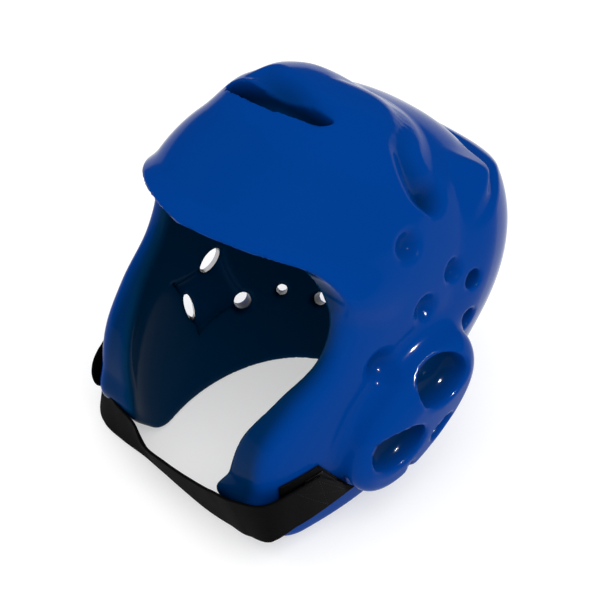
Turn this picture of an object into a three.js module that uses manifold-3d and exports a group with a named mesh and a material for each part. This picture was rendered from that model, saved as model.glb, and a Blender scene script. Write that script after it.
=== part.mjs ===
// Open-face foam headgear for taekwondo: one moulded, vinyl-dipped foam shell with raised ear domes,
// and an elastic chin strap held by hook-and-loop tape on both cheeks. Millimetres, +Z up.
// Shapes of the shell are worked out in the worn frame (+X the wearer's left, -Y the face, +Z the crown),
// and the whole is then tipped back on to the flat lower rim that it stands on.
import * as THREE from "three";
import { mergeVertices } from "three/addons/utils/BufferGeometryUtils.js";
import Module from "manifold-3d";

const wasm = await Module();
wasm.setup();

// Head cavity, measured from its middle
const CAVITY_HALF_WIDTH = 74.8;
const CAVITY_FRONT = 89;
const CAVITY_BACK = 103.7;
const CAVITY_TOP = 88;
const CAVITY_DROP = 155.6;
const CAVITY_ROUNDNESS = 2.2;

// Foam walls round the cavity
const WALL_SIDE = 12.7;
const WALL_FRONT = 17.5;
const WALL_BACK = 19.1;
const WALL_TOP = 18.8;
const WALL_DROP = 72.6;
const SHELL_ROUNDNESS = 2.4;

// Lower rim: a flat plane that the headgear stands on, and how far the head leans back on it
const LEAN_BACK = 28.5;
const RIM_DROP = 116.3;

// Face opening
const BROW_HEIGHT = 22.7;
const BROW_ARCH = 0.1;
const BROW_FILLET = 14;

// Raised forms of the shell: heights over the plain wall
const FOREHEAD_SLANT = 3.5;
const BROW_FLARE = 8;
const CROWN_LOBE_HEIGHT = 7;
const REAR_PAD_HEIGHT = 11;
const EAR_DOME_HEIGHT = 23;
const EAR_DOME_LENGTH = 101;
const EAR_DOME_WIDTH = 64;
const EAR_DOME_EDGE_ROUND = 12;

// Recesses and holes
const EAR_CUP_DEPTH = 17;
const EAR_CUP_LENGTH = 37;
const EAR_CUP_WIDTH = 29;
const EAR_VENT_LENGTH = 20;
const EAR_VENT_WIDTH = 11;
const EAR_VENT_TURN = 135;
const EAR_VENT_FALL = 17;
const BACK_VENT_DIAMETER = 13;
const BACK_VENT_FALL = 8;
const DIMPLE_DIAMETER = 15;
const DIMPLE_DEPTH = 6;
const TOP_SLOT_LENGTH = 76;
const TOP_SLOT_WIDTH = 15;
const TOP_SLOT_DEPTH = 12;
const TOP_SLOT_BEND = 5;
const SIDE_GROOVE_LENGTH = 58;
const SIDE_GROOVE_WIDTH = 19;
const SIDE_GROOVE_DEPTH = 7;

// How far a raised pad's root reaches into the wall, and how far a cutter stands out of it
const EAR_DOME_ROOT = 4;
const CUT_CLEAR = 14;

// Chin strap and its fastening
const STRAP_WIDTH = 33;
const STRAP_END_SLANT = 21;
const STRAP_THICKNESS = 1.8;
const TAPE_THICKNESS = 1.3;
const LOOP_PATCH_LENGTH = 36;
const LOOP_PATCH_HEIGHT = 38;
const HOOK_TAB_LENGTH = 20;
const FASTENING_HEIGHT = 39;
const FASTENING_RISE = 0.2;
const FASTENING_SETBACK = 10;
const TAB_MARGIN = 1.5;
const SEAT_GAP = 0.35;
const STRAP_GAP = 0.5;
const FLOOR_GAP = 0.6;

// Fineness of the faceted surfaces
const OUTER_DETAIL = 14;
const INNER_DETAIL = 7;
const HOLE_SIDES = 14;
const STRAP_STEPS = 60;
const SHEET_COLUMNS = 6;
const SHEET_ROWS = 4;

const CAVITY = {
  half: CAVITY_HALF_WIDTH,
  front: CAVITY_FRONT,
  back: CAVITY_BACK,
  top: CAVITY_TOP,
  drop: CAVITY_DROP,
  roundness: CAVITY_ROUNDNESS,
};
const SHELL = {
  half: CAVITY_HALF_WIDTH + WALL_SIDE,
  front: CAVITY_FRONT + WALL_FRONT,
  back: CAVITY_BACK + WALL_BACK,
  top: CAVITY_TOP + WALL_TOP,
  drop: CAVITY_DROP + WALL_DROP,
  roundness: SHELL_ROUNDNESS,
};
const TO_REST = new THREE.Matrix4().makeRotationX(-THREE.MathUtils.degToRad(LEAN_BACK));
TO_REST.setPosition(0, 0, RIM_DROP);
const TO_WORN = TO_REST.clone().invert();

const FOAM = new THREE.MeshStandardMaterial({ color: 0x003a8c, roughness: 0.22, metalness: 0 });
const WEBBING = new THREE.MeshStandardMaterial({ color: 0x050505, roughness: 0.85, metalness: 0 });
const LOOP_TAPE = new THREE.MeshStandardMaterial({ color: 0x08080a, roughness: 0.95, metalness: 0 });
const HOOK_TAPE = new THREE.MeshStandardMaterial({ color: 0x0c0c0e, roughness: 0.7, metalness: 0 });

function smoothStep(x) {
  const t = Math.min(1, Math.max(0, x));
  return t * t * (3 - 2 * t);
}

// Unit vector from the cavity's middle: turn 0 is the face, 90 the wearer's left, 180 the back
function direction(turn, rise) {
  const a = THREE.MathUtils.degToRad(turn);
  const b = THREE.MathUtils.degToRad(rise);
  return new THREE.Vector3(Math.sin(a) * Math.cos(b), -Math.cos(a) * Math.cos(b), Math.sin(b));
}

// Distance from the middle to a rounded body whose front and back, and top and bottom, differ
function bodyRadius(d, body) {
  const n = body.roundness;
  const across = Math.abs(d.x / body.half) ** n;
  const along = Math.abs(d.y / (d.y < 0 ? body.front : body.back)) ** n;
  const upward = Math.abs(d.z / (d.z > 0 ? body.top : body.drop)) ** n;
  return (across + along + upward) ** (-1 / n);
}

// Tangent frame on the shell's plain wall; a mirrored pair is given by turns of opposite sign
function surfaceFrame(turn, rise, tilt) {
  const out = direction(turn, rise);
  const side = turn < 0 ? -1 : 1;
  const back = new THREE.Vector3(0, 0, 1).cross(out).normalize().multiplyScalar(side);
  const up = out.clone().cross(back).multiplyScalar(side);
  const angle = THREE.MathUtils.degToRad(tilt);
  const long = back.clone().multiplyScalar(Math.cos(angle)).addScaledVector(up, Math.sin(angle));
  const short = up.clone().multiplyScalar(Math.cos(angle)).addScaledVector(back, -Math.sin(angle));
  return { origin: out.clone().multiplyScalar(bodyRadius(out, SHELL)), out, long, short, side };
}

// Soft oval swelling, 1 in its middle and 0 past its edge
function swelling(point, place) {
  const frame = surfaceFrame(place.turn, place.rise, place.tilt);
  const offset = new THREE.Vector3(Math.abs(point.x), point.y, point.z).sub(frame.origin);
  const u = offset.dot(frame.long);
  const v = offset.dot(frame.short);
  const share = Math.hypot(u / place.halfLength, v / place.halfWidth);
  const beyond = (share - 1) * Math.hypot(u, v) / Math.max(share, 0.001);
  return smoothStep(0.5 - beyond / place.soft);
}

// Stretches of the wall that a form covers, with soft ends. Turns run in degrees from the face, and a
// negative softness covers the turns past it; levels are shares of the shell's height over the middle.
// The form's height there is its full height times share + slope * level
const FOREHEAD = {
  turn: 80, turnSoft: 26, top: 0.93, topSoft: 0.08, foot: 0, footSoft: 0.19, share: -0.07, slope: 1.1,
};
const BROW = {
  turn: 82, turnSoft: 30, top: 0.47, topSoft: 0.27, foot: 0.02, footSoft: 0.19, share: 1, slope: 0,
};
const REAR_PAD = {
  turn: 105, turnSoft: -20, top: 0.83, topSoft: 0.13, foot: -0.48, footSoft: 0.19, share: 0.26, slope: 0.9,
};
const CROWN_LOBE = {
  turn: 25,
  rise: 64.6,
  tilt: 0,
  halfLength: 0.5 * SHELL.half,
  halfWidth: 0.39 * SHELL.half,
  soft: 0.34 * SHELL.half,
};

// Height over the plain wall, at a turn and level, of a form that covers a stretch
function formHeight(height, stretch, turn, level) {
  const sideways = smoothStep((stretch.turn - turn) / stretch.turnSoft);
  const below = smoothStep((stretch.top - level) / stretch.topSoft);
  const above = smoothStep((level - stretch.foot) / stretch.footSoft);
  return height * (stretch.share + stretch.slope * level) * sideways * below * above;
}

// Plain wall with the slanted forehead, its flared brow, the crown's lobe and the pad over the back
function outerRadius(d) {
  const plain = bodyRadius(d, SHELL);
  const point = d.clone().multiplyScalar(plain);
  const turn = THREE.MathUtils.radToDeg(Math.atan2(Math.abs(point.x), -point.y));
  const level = point.z / SHELL.top;
  return plain
    - formHeight(FOREHEAD_SLANT, FOREHEAD, turn, level)
    + formHeight(BROW_FLARE, BROW, turn, level)
    + formHeight(REAR_PAD_HEIGHT, REAR_PAD, turn, level)
    + CROWN_LOBE_HEIGHT * swelling(point, CROWN_LOBE);
}

// Side view of the face opening, from the brow down the cheek to the rim:
// height as a share of the cavity's drop, setback as a share of the cavity's front
const FACE_EDGE = [
  { height: 0.19, setback: -0.746 },
  { height: 0.03, setback: -0.575 },
  { height: -0.13, setback: -0.527 },
  { height: -0.32, setback: -0.627 },
  { height: -0.51, setback: -0.673 },
  { height: -0.675, setback: -0.618 },
  { height: -0.82, setback: -0.454 },
  { height: -0.96, setback: 0.276 },
].map((row) => ({ y: row.setback * CAVITY_FRONT, z: row.height * CAVITY_DROP }));

function solidOf(geometry, flip) {
  const shape = geometry.clone();
  shape.deleteAttribute("normal");
  shape.deleteAttribute("uv");
  const merged = mergeVertices(shape, 1e-4);
  const vertices = new Float32Array(merged.attributes.position.array);
  const triangles = new Uint32Array(merged.index.array);
  const kept = [];
  for (let i = 0; i < triangles.length; i += 3) {
    const [a, b, c] = triangles.subarray(i, i + 3);
    if (a !== b && b !== c && c !== a) kept.push(a, flip ? c : b, flip ? b : c);
  }
  return new wasm.Manifold(new wasm.Mesh({
    numProp: 3,
    vertProperties: vertices,
    triVerts: new Uint32Array(kept),
  }));
}

function geometryOf(solid) {
  const mesh = solid.getMesh();
  const geometry = new THREE.BufferGeometry();
  geometry.setAttribute("position", new THREE.BufferAttribute(new Float32Array(mesh.vertProperties), 3));
  geometry.setIndex(new THREE.BufferAttribute(new Uint32Array(mesh.triVerts), 1));
  geometry.computeVertexNormals();
  return geometry;
}

// Closed blob whose distance from the middle is a function of direction
function blob(detail, radius) {
  const geometry = new THREE.IcosahedronGeometry(1, detail);
  const position = geometry.attributes.position;
  const d = new THREE.Vector3();
  for (let i = 0; i < position.count; i += 1) {
    d.fromBufferAttribute(position, i).normalize();
    const r = radius(d);
    position.setXYZ(i, d.x * r, d.y * r, d.z * r);
  }
  return solidOf(geometry, false);
}

// Direction of the wall's point that lies at offsets u and v from the frame's origin
function wallDirection(frame, u, v) {
  const aim = frame.origin.clone().addScaledVector(frame.long, u).addScaledVector(frame.short, v);
  const offset = new THREE.Vector3();
  for (let pass = 0; pass < 5; pass += 1) {
    const d = aim.clone().normalize();
    offset.copy(d).multiplyScalar(bodyRadius(d, SHELL)).sub(frame.origin);
    aim.addScaledVector(frame.long, u - offset.dot(frame.long));
    aim.addScaledVector(frame.short, v - offset.dot(frame.short));
  }
  return aim.normalize();
}

// Oval plug that follows the shell's wall: a lathe whose profile holds pairs of share of the half sizes
// and height over the wall; a bend lifts the ends of its long axis
function ovalPlug(place, profile, sides) {
  const frame = surfaceFrame(place.turn, place.rise, place.tilt);
  const outline = profile.map(([share, height]) => new THREE.Vector2(share, height));
  const geometry = new THREE.LatheGeometry(outline, sides);
  const position = geometry.attributes.position;
  for (let i = 0; i < position.count; i += 1) {
    const share = position.getX(i);
    const lift = (place.bend ?? 0) * share * share;
    const d = wallDirection(frame, share * place.halfLength, position.getZ(i) * place.halfWidth + lift);
    const r = bodyRadius(d, SHELL) + position.getY(i);
    position.setXYZ(i, d.x * r, d.y * r, d.z * r);
  }
  return solidOf(geometry, frame.side > 0);
}

function bothSides(place, make) {
  return [1, -1].map((side) => make({ ...place, turn: place.turn * side }));
}

// Rounded profile of a raised pad, from its root inside the wall to the middle of its top
function padProfile(root, height, edgeShare) {
  const steps = 3;
  const points = [[0, -root], [1, -root]];
  for (let i = 0; i <= steps; i += 1) {
    const a = (i / steps) * Math.PI / 2;
    points.push([1 - edgeShare * (1 - Math.cos(a)), height - EAR_DOME_EDGE_ROUND * (1 - Math.sin(a))]);
  }
  points.push([0, height]);
  return points;
}

// Rounded profile of a recess, from its floor to a lip that stands clear of the surface
function cupProfile(surface, depth, floorShare, clear) {
  return [
    [0, surface - depth],
    [floorShare, surface - depth],
    [0.93, surface - 0.6 * depth],
    [1, surface],
    [1, surface + clear],
    [0, surface + clear],
  ];
}

const EAR_DOME = {
  turn: 102.8,
  rise: -24.5,
  tilt: 64,
  halfLength: EAR_DOME_LENGTH / 2,
  halfWidth: EAR_DOME_WIDTH / 2,
};
const EAR_CUPS = [
  { turn: 93, rise: -33, tilt: 25 },
  { turn: 100.5, rise: -14, tilt: 25 },
];
const EAR_VENTS = [
  { turn: 92.5, rise: -44, tilt: 100 },
  { turn: 98, rise: -26, tilt: 55 },
];
const DIMPLES = [
  { turn: 74, rise: 31, size: 1.1 },
  { turn: 104, rise: 24, size: 0.85 },
  { turn: 117, rise: 20, size: 0.75 },
  { turn: 93, rise: 11, size: 1 },
  { turn: 122, rise: 5, size: 0.85 },
  { turn: 80, rise: -10, size: 1.15 },
];
const BACK_VENTS = [
  { turn: 125, rise: -38, size: 1.15 },
  { turn: 140, rise: -29, size: 0.75 },
  { turn: 155, rise: -26, size: 0.8 },
];
const TOP_SLOT = {
  turn: -6.5,
  rise: 54.3,
  tilt: -11,
  halfLength: TOP_SLOT_LENGTH / 2,
  halfWidth: TOP_SLOT_WIDTH / 2,
  bend: TOP_SLOT_BEND,
};
const SIDE_GROOVE = {
  turn: 79,
  rise: 53,
  tilt: -58,
  halfLength: SIDE_GROOVE_LENGTH / 2,
  halfWidth: SIDE_GROOVE_WIDTH / 2,
};

// Oval hole straight through the wall, between two points on a run from the cavity's wall
function tunnel(start, run, before, after, long, length, width) {
  const hole = new THREE.CylinderGeometry(width / 2, width / 2, before + after, HOLE_SIDES);
  hole.scale(length / width, 1, 1);
  hole.translate(0, (after - before) / 2, 0);
  const across = long.clone().addScaledVector(run, -long.dot(run)).normalize();
  hole.applyMatrix4(new THREE.Matrix4().makeBasis(across, run, across.clone().cross(run)).setPosition(start));
  return solidOf(hole, false);
}

// Ear vents run back and slightly down from the cavity, and leave through the rear flank of the ear dome
function earVent(vent, side) {
  const inner = direction(vent.turn * side, vent.rise);
  const start = inner.clone().multiplyScalar(bodyRadius(inner, CAVITY));
  const run = direction(EAR_VENT_TURN * side, -EAR_VENT_FALL);
  const { long } = surfaceFrame(vent.turn * side, vent.rise, vent.tilt);
  const reach = WALL_SIDE + EAR_DOME_WIDTH;
  return tunnel(start, run, EAR_VENT_LENGTH, reach, long, EAR_VENT_LENGTH, EAR_VENT_WIDTH);
}

// Vents behind the ears run outwards and slightly down through the wall
function backVent(vent, side) {
  const inner = direction(vent.turn * side, vent.rise);
  const start = inner.clone().multiplyScalar(bodyRadius(inner, CAVITY));
  const run = direction(vent.turn * side, -BACK_VENT_FALL);
  const up = new THREE.Vector3(0, 0, 1);
  const reach = WALL_BACK + REAR_PAD_HEIGHT + BACK_VENT_DIAMETER;
  const diameter = BACK_VENT_DIAMETER * vent.size;
  return tunnel(start, run, BACK_VENT_DIAMETER, reach, up, diameter, diameter);
}

// Everything in front of the face edge and under the brow, as a prism across the head
function faceOpening() {
  const reach = 2 * SHELL.front;
  const corner = FACE_EDGE[0];
  const outline = new THREE.Shape();
  outline.moveTo(-reach, BROW_HEIGHT);
  outline.lineTo(corner.y - BROW_FILLET, BROW_HEIGHT);
  outline.quadraticCurveTo(corner.y + 0.25 * BROW_FILLET, BROW_HEIGHT, FACE_EDGE[1].y, FACE_EDGE[1].z);
  outline.splineThru(FACE_EDGE.slice(2).map((row) => new THREE.Vector2(row.y, row.z)));
  const foot = FACE_EDGE[FACE_EDGE.length - 1];
  outline.lineTo(foot.y, -reach);
  outline.lineTo(-reach, -reach);
  const width = 3 * SHELL.half;
  const prism = new THREE.ExtrudeGeometry(outline, {
    depth: width,
    steps: 12,
    curveSegments: 5,
    bevelEnabled: false,
  });
  const position = prism.attributes.position;
  for (let i = 0; i < position.count; i += 1) {
    const x = position.getZ(i) - width / 2;
    const z = position.getY(i);
    const arch = BROW_ARCH * Math.abs(x) * smoothStep(z / BROW_HEIGHT);
    position.setXYZ(i, x, position.getX(i), z + arch);
  }
  return solidOf(prism, false);
}

function belowRim() {
  const reach = 6 * SHELL.half;
  const block = new THREE.BoxGeometry(reach, reach, reach);
  block.translate(0, 0, -reach / 2);
  block.applyMatrix4(TO_WORN);
  return solidOf(block, false);
}

function shellGeometry() {
  let outside = blob(OUTER_DETAIL, outerRadius);
  const dome = padProfile(EAR_DOME_ROOT, EAR_DOME_HEIGHT, 2 * EAR_DOME_EDGE_ROUND / EAR_DOME_WIDTH);
  for (const pad of bothSides(EAR_DOME, (place) => ovalPlug(place, dome, 32))) outside = outside.add(pad);
  const cavity = blob(INNER_DETAIL, (d) => bodyRadius(d, CAVITY));
  const cuts = [cavity, faceOpening(), belowRim()];
  for (const cup of EAR_CUPS) {
    const place = { ...cup, halfLength: EAR_CUP_LENGTH / 2, halfWidth: EAR_CUP_WIDTH / 2 };
    const profile = cupProfile(EAR_DOME_HEIGHT, EAR_CUP_DEPTH, 0.62, CUT_CLEAR);
    cuts.push(...bothSides(place, (at) => ovalPlug(at, profile, 20)));
  }
  for (const vent of EAR_VENTS) cuts.push(earVent(vent, 1), earVent(vent, -1));
  for (const dimple of DIMPLES) {
    const half = dimple.size * DIMPLE_DIAMETER / 2;
    const place = { ...dimple, tilt: 0, halfLength: half, halfWidth: half };
    const profile = cupProfile(0, DIMPLE_DEPTH, 0.45, CUT_CLEAR);
    cuts.push(...bothSides(place, (at) => ovalPlug(at, profile, 12)));
  }
  for (const vent of BACK_VENTS) cuts.push(backVent(vent, 1), backVent(vent, -1));
  cuts.push(ovalPlug(TOP_SLOT, cupProfile(0, TOP_SLOT_DEPTH, 0.6, CUT_CLEAR), 24));
  const groove = cupProfile(0, SIDE_GROOVE_DEPTH, 0.35, CUT_CLEAR);
  cuts.push(...bothSides(SIDE_GROOVE, (at) => ovalPlug(at, groove, 18)));
  let shell = outside;
  for (const cut of cuts) shell = shell.subtract(cut);
  return geometryOf(shell);
}

const { shellSurfaceX, frontReach } = restFrameMeasures();

// Side wall and front reach of the shell as it stands on its rim, where the strap is laid out
function restFrameMeasures() {
  const surfaceX = (y, z) => {
    let low = 0;
    let high = 2 * SHELL.half;
    for (let i = 0; i < 40; i += 1) {
      const x = (low + high) / 2;
      const p = new THREE.Vector3(x, y, z).applyMatrix4(TO_WORN);
      const r = p.length();
      if (r < outerRadius(p.normalize())) low = x;
      else high = x;
    }
    return low;
  };
  const edge = FACE_EDGE.map((row) => new THREE.Vector3(0, row.y, row.z).applyMatrix4(TO_REST).y);
  return { shellSurfaceX: surfaceX, frontReach: -Math.min(...edge) };
}

// Point on a sheet that lies on the cheek: distance back from the cheek's front, height, lift off the wall
function cheekPoint(side, back, height, lift) {
  const y = -frontReach + back;
  const x = shellSurfaceX(y, height);
  const step = 2;
  const alongBack = new THREE.Vector3(shellSurfaceX(y + step, height) - x, step, 0);
  const upward = new THREE.Vector3(shellSurfaceX(y, height + step) - x, 0, step);
  const out = alongBack.cross(upward).normalize();
  const point = new THREE.Vector3(x, y, height).addScaledVector(out, lift);
  point.x *= side;
  return point;
}

// Height of the strap's middle line on the cheek, which climbs towards the back
function fasteningHeight(back) {
  return FASTENING_HEIGHT + FASTENING_RISE * (back - FASTENING_SETBACK - LOOP_PATCH_LENGTH / 2);
}

// Flat piece of tape bent to the cheek, centred on the strap's middle line, with the strap's slanted end
function cheekSheet(side, backFrom, length, width, lift, thickness) {
  const geometry = new THREE.BoxGeometry(1, 1, 1, SHEET_COLUMNS, SHEET_ROWS, 1);
  const position = geometry.attributes.position;
  const slant = STRAP_END_SLANT * width / STRAP_WIDTH;
  for (let i = 0; i < position.count; i += 1) {
    const share = position.getX(i) + 0.5;
    const back = backFrom + share * (length - slant * position.getY(i));
    const height = fasteningHeight(back) + width * position.getY(i);
    const p = cheekPoint(side, back, height, lift + thickness * (position.getZ(i) + 0.5));
    position.setXYZ(i, p.x, p.y, p.z);
  }
  return geometryOf(solidOf(geometry, side < 0));
}

// Lifts off the cheek's wall of the layers of the fastening
const PATCH_LIFT = SEAT_GAP;
const TAB_LIFT = PATCH_LIFT + TAPE_THICKNESS + SEAT_GAP;
const STRAP_LIFT = TAB_LIFT + TAPE_THICKNESS + STRAP_GAP;

function loopPatch(side) {
  const from = FASTENING_SETBACK;
  return cheekSheet(side, from, LOOP_PATCH_LENGTH, LOOP_PATCH_HEIGHT, PATCH_LIFT, TAPE_THICKNESS);
}

function hookTab(side) {
  const from = FASTENING_SETBACK + LOOP_PATCH_LENGTH - HOOK_TAB_LENGTH - TAB_MARGIN;
  return cheekSheet(side, from, HOOK_TAB_LENGTH, STRAP_WIDTH - 2 * TAB_MARGIN, TAB_LIFT, TAPE_THICKNESS);
}

// Free span of the strap between the cheeks: across as a share of the cheeks' half gap,
// ahead past the cheeks' front as a share of the strap's width, lift of its lower edge over the floor
// as a share of the width, and how far its upper edge leans outwards in degrees
const FREE_SPAN = [
  { across: -1.04, ahead: -0.04, lift: 0.34, lean: 4 },
  { across: -0.91, ahead: 0.08, lift: 0.12, lean: 6 },
  { across: -0.68, ahead: 0.06, lift: 0.02, lean: 7 },
  { across: -0.42, ahead: 0.01, lift: 0, lean: 11 },
  { across: -0.2, ahead: 0, lift: 0, lean: 22 },
  { across: 0.05, ahead: 0, lift: 0, lean: 21 },
  { across: 0.33, ahead: 0, lift: 0.03, lean: 18 },
  { across: 0.6, ahead: 0.03, lift: 0.22, lean: 17 },
  { across: 0.83, ahead: 0.07, lift: 0.42, lean: 14 },
  { across: 1.04, ahead: -0.04, lift: 0.56, lean: 8 },
];

// How far back on the cheek the strap's lower edge ends
const STRAP_END = FASTENING_SETBACK + LOOP_PATCH_LENGTH + STRAP_END_SLANT / 2 - TAB_MARGIN;

function strapStations() {
  const cheekBacks = [0, 0.25, 0.5, 0.75, 1].map((share) => STRAP_END - share * LOOP_PATCH_LENGTH);
  const halfLift = STRAP_LIFT + STRAP_THICKNESS / 2;
  const onCheek = (side, back) => ({
    centre: cheekPoint(side, back, fasteningHeight(back), halfLift),
    lower: cheekPoint(side, back, fasteningHeight(back) - STRAP_WIDTH / 2, halfLift),
  });
  const halfGap = shellSurfaceX(-frontReach + FASTENING_SETBACK, FASTENING_HEIGHT);
  const span = FREE_SPAN.map((row) => {
    const lean = THREE.MathUtils.degToRad(row.lean);
    const lower = new THREE.Vector3(
      row.across * halfGap,
      -frontReach - row.ahead * STRAP_WIDTH,
      FLOOR_GAP + row.lift * STRAP_WIDTH + STRAP_THICKNESS / 2 * Math.sin(lean),
    );
    const up = new THREE.Vector3(0, -Math.sin(lean), Math.cos(lean));
    return { centre: lower.clone().addScaledVector(up, STRAP_WIDTH / 2), lower };
  });
  const right = cheekBacks.map((back) => onCheek(-1, back));
  const left = cheekBacks.map((back) => onCheek(1, back)).reverse();
  return [...right, ...span, ...left];
}

// Block behind the slanted line where the strap is cut off on a cheek; its upper edge is the shorter one
function strapEndCut(side) {
  const onCheek = (back, drop) => cheekPoint(side, back, fasteningHeight(back) - drop, STRAP_LIFT);
  const lower = onCheek(STRAP_END, STRAP_WIDTH / 2);
  const middle = onCheek(STRAP_END - STRAP_END_SLANT / 2, 0);
  const slanted = middle.clone().sub(lower).normalize();
  const rearward = onCheek(STRAP_END + STRAP_END_SLANT, 0).sub(middle);
  rearward.addScaledVector(slanted, -rearward.dot(slanted)).normalize();
  const reach = 2 * STRAP_WIDTH;
  const block = new THREE.BoxGeometry(reach, reach, reach);
  block.translate(reach / 2, 0, 0);
  const basis = new THREE.Matrix4().makeBasis(rearward, slanted, rearward.clone().cross(slanted));
  block.applyMatrix4(basis.setPosition(middle));
  return solidOf(block, false);
}

// Band swept along its stations: the centre line gives the route, the lower edge gives the twist
function strapGeometry() {
  const stations = strapStations();
  const centreLine = new THREE.CatmullRomCurve3(stations.map((s) => s.centre), false, "centripetal");
  const lowerEdge = new THREE.CatmullRomCurve3(stations.map((s) => s.lower), false, "centripetal");
  const geometry = new THREE.BoxGeometry(1, 1, 1, STRAP_STEPS, 1, 1);
  const position = geometry.attributes.position;
  for (let i = 0; i < position.count; i += 1) {
    const t = centreLine.getUtoTmapping(position.getX(i) + 0.5);
    const centre = centreLine.getPoint(t);
    const along = centreLine.getTangent(t);
    const up = centre.clone().sub(lowerEdge.getPoint(t));
    up.addScaledVector(along, -up.dot(along)).normalize();
    const out = along.clone().cross(up);
    centre.addScaledVector(up, position.getY(i) * STRAP_WIDTH);
    centre.addScaledVector(out, position.getZ(i) * STRAP_THICKNESS);
    position.setXYZ(i, centre.x, centre.y, centre.z);
  }
  const band = solidOf(geometry, false);
  return geometryOf(band.subtract(strapEndCut(1)).subtract(strapEndCut(-1)));
}

function named(name, geometry, material) {
  const mesh = new THREE.Mesh(geometry, material);
  mesh.name = name;
  return mesh;
}

const worn = new THREE.Group();
worn.add(named("shell", shellGeometry(), FOAM));
worn.rotation.x = -THREE.MathUtils.degToRad(LEAN_BACK);
worn.position.z = RIM_DROP;

const headgear = new THREE.Group();
headgear.add(worn);
headgear.add(named("loop_patch_left", loopPatch(1), LOOP_TAPE));
headgear.add(named("loop_patch_right", loopPatch(-1), LOOP_TAPE));
headgear.add(named("hook_tab_left", hookTab(1), HOOK_TAPE));
headgear.add(named("hook_tab_right", hookTab(-1), HOOK_TAPE));
headgear.add(named("chin_strap", strapGeometry(), WEBBING));

// The origin is on the floor under the middle of the headgear's box
headgear.updateMatrixWorld(true);
const middle = new THREE.Box3().setFromObject(headgear, true).getCenter(new THREE.Vector3());
headgear.position.set(-middle.x, -middle.y, 0);

export default headgear;
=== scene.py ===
# Open-face foam headgear for taekwondo, standing on its lower rim. Metres, +Z up, -Y the face, +X the
# wearer's left. The pieces' own sizes are millimetres: the foam's in the worn frame, upright round the
# head's middle, and those of the strap and tapes as it stands.
import math

import bpy
import numpy as np
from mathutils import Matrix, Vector


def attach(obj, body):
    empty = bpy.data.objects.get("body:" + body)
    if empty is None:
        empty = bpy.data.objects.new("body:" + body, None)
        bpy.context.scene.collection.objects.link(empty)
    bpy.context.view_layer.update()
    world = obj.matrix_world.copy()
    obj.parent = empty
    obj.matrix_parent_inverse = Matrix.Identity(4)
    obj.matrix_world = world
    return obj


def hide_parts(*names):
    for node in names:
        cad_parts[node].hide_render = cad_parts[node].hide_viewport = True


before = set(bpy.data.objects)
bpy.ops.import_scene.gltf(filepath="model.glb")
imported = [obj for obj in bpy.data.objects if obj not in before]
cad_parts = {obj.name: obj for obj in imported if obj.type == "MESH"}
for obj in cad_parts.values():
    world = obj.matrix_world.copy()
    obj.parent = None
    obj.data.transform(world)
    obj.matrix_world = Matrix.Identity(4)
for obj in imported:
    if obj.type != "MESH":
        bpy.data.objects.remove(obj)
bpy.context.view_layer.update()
scene = bpy.context.scene

# Camera: it looks down at the middle of the head cavity from the wearer's left front.
HEAD_MIDDLE = Vector((0, -0.01039, 0.1163))
CAMERA_TURN = 47.53
CAMERA_RISE = 38.45
CAMERA_DISTANCE = 0.793
CAMERA_LENS = 82.66
SENSOR_WIDTH = 36
PICTURE_SIZE = 600
MIDDLE_PIXEL = (299.8, 263.2)

turn, rise = math.radians(CAMERA_TURN), math.radians(CAMERA_RISE)
back_to_camera = Vector((math.sin(turn) * math.cos(rise), -math.cos(turn) * math.cos(rise), math.sin(rise)))
camera = bpy.data.objects.new("camera", bpy.data.cameras.new("camera"))
camera.location = HEAD_MIDDLE + back_to_camera * CAMERA_DISTANCE
camera.rotation_euler = back_to_camera.to_track_quat("Z", "Y").to_euler()
camera.data.lens = CAMERA_LENS
camera.data.sensor_width = SENSOR_WIDTH
camera.data.shift_x = (PICTURE_SIZE / 2 - MIDDLE_PIXEL[0]) / PICTURE_SIZE
camera.data.shift_y = (MIDDLE_PIXEL[1] - PICTURE_SIZE / 2) / PICTURE_SIZE
scene.collection.objects.link(camera)
scene.camera = camera

# Foam shell: one piece of closed-cell foam, moulded with its ear domes, dents and vents, then dipped in
# liquid vinyl that sets to a glossy royal-blue skin and rounds every edge. It stands on its flat rim.
MM_PER_METRE = 1000
CAVITY = {"half": 74.8, "front": 89, "back": 103.7, "top": 88, "drop": 155.6, "roundness": 2.2}
WALL = {"half": 12.7, "front": 17.5, "back": 19.1, "top": 18.8, "drop": 72.6}
BODY = {side: CAVITY[side] + WALL[side] for side in WALL} | {"roundness": 2.4}
LEAN_BACK = math.radians(28.5)
RIM_DROP = 116.3
RIM_ROUND = 7
BROW_HEIGHT = 22.7
BROW_ARCH = 0.1
BROW_ROUND = 16
FACE_ROUND = 9
BROW_EDGE_ROUND = 2.5
# The face opening's edge from the brow down: its distance behind the head's middle, negative ahead of it.
FACE_EDGE = [
    {"height": 30, "setback": -66.4},
    {"height": 5, "setback": -51.2},
    {"height": -20, "setback": -46.9},
    {"height": -50, "setback": -55.8},
    {"height": -80, "setback": -59.9},
    {"height": -105, "setback": -52.5},
    {"height": -128, "setback": -40.4},
    {"height": -150, "setback": 24.6},
]
# Soft forms of the outer wall. Each lies ahead of a turn, or behind it where turn_soft is negative, and
# between a foot and a top, which are levels in shares of the body's height over the head's middle. It
# stands out by its height times the sum of its share and its slope times the level.
FORMS = [
    {"name": "slanted forehead", "height": -3.5, "turn": 80, "turn_soft": 26, "top": 0.93, "top_soft": 0.08,
     "foot": 0, "foot_soft": 0.19, "share": -0.07, "slope": 1.1},
    {"name": "flared brow", "height": 8, "turn": 82, "turn_soft": 30, "top": 0.37, "top_soft": 0.24,
     "foot": 0.02, "foot_soft": 0.19, "share": 1, "slope": 0},
    {"name": "rear pad", "height": 11, "turn": 105, "turn_soft": -20, "top": 0.9, "top_soft": 0.13,
     "foot": -0.48, "foot_soft": 0.19, "share": 0.26, "slope": 0.9},
]
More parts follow.
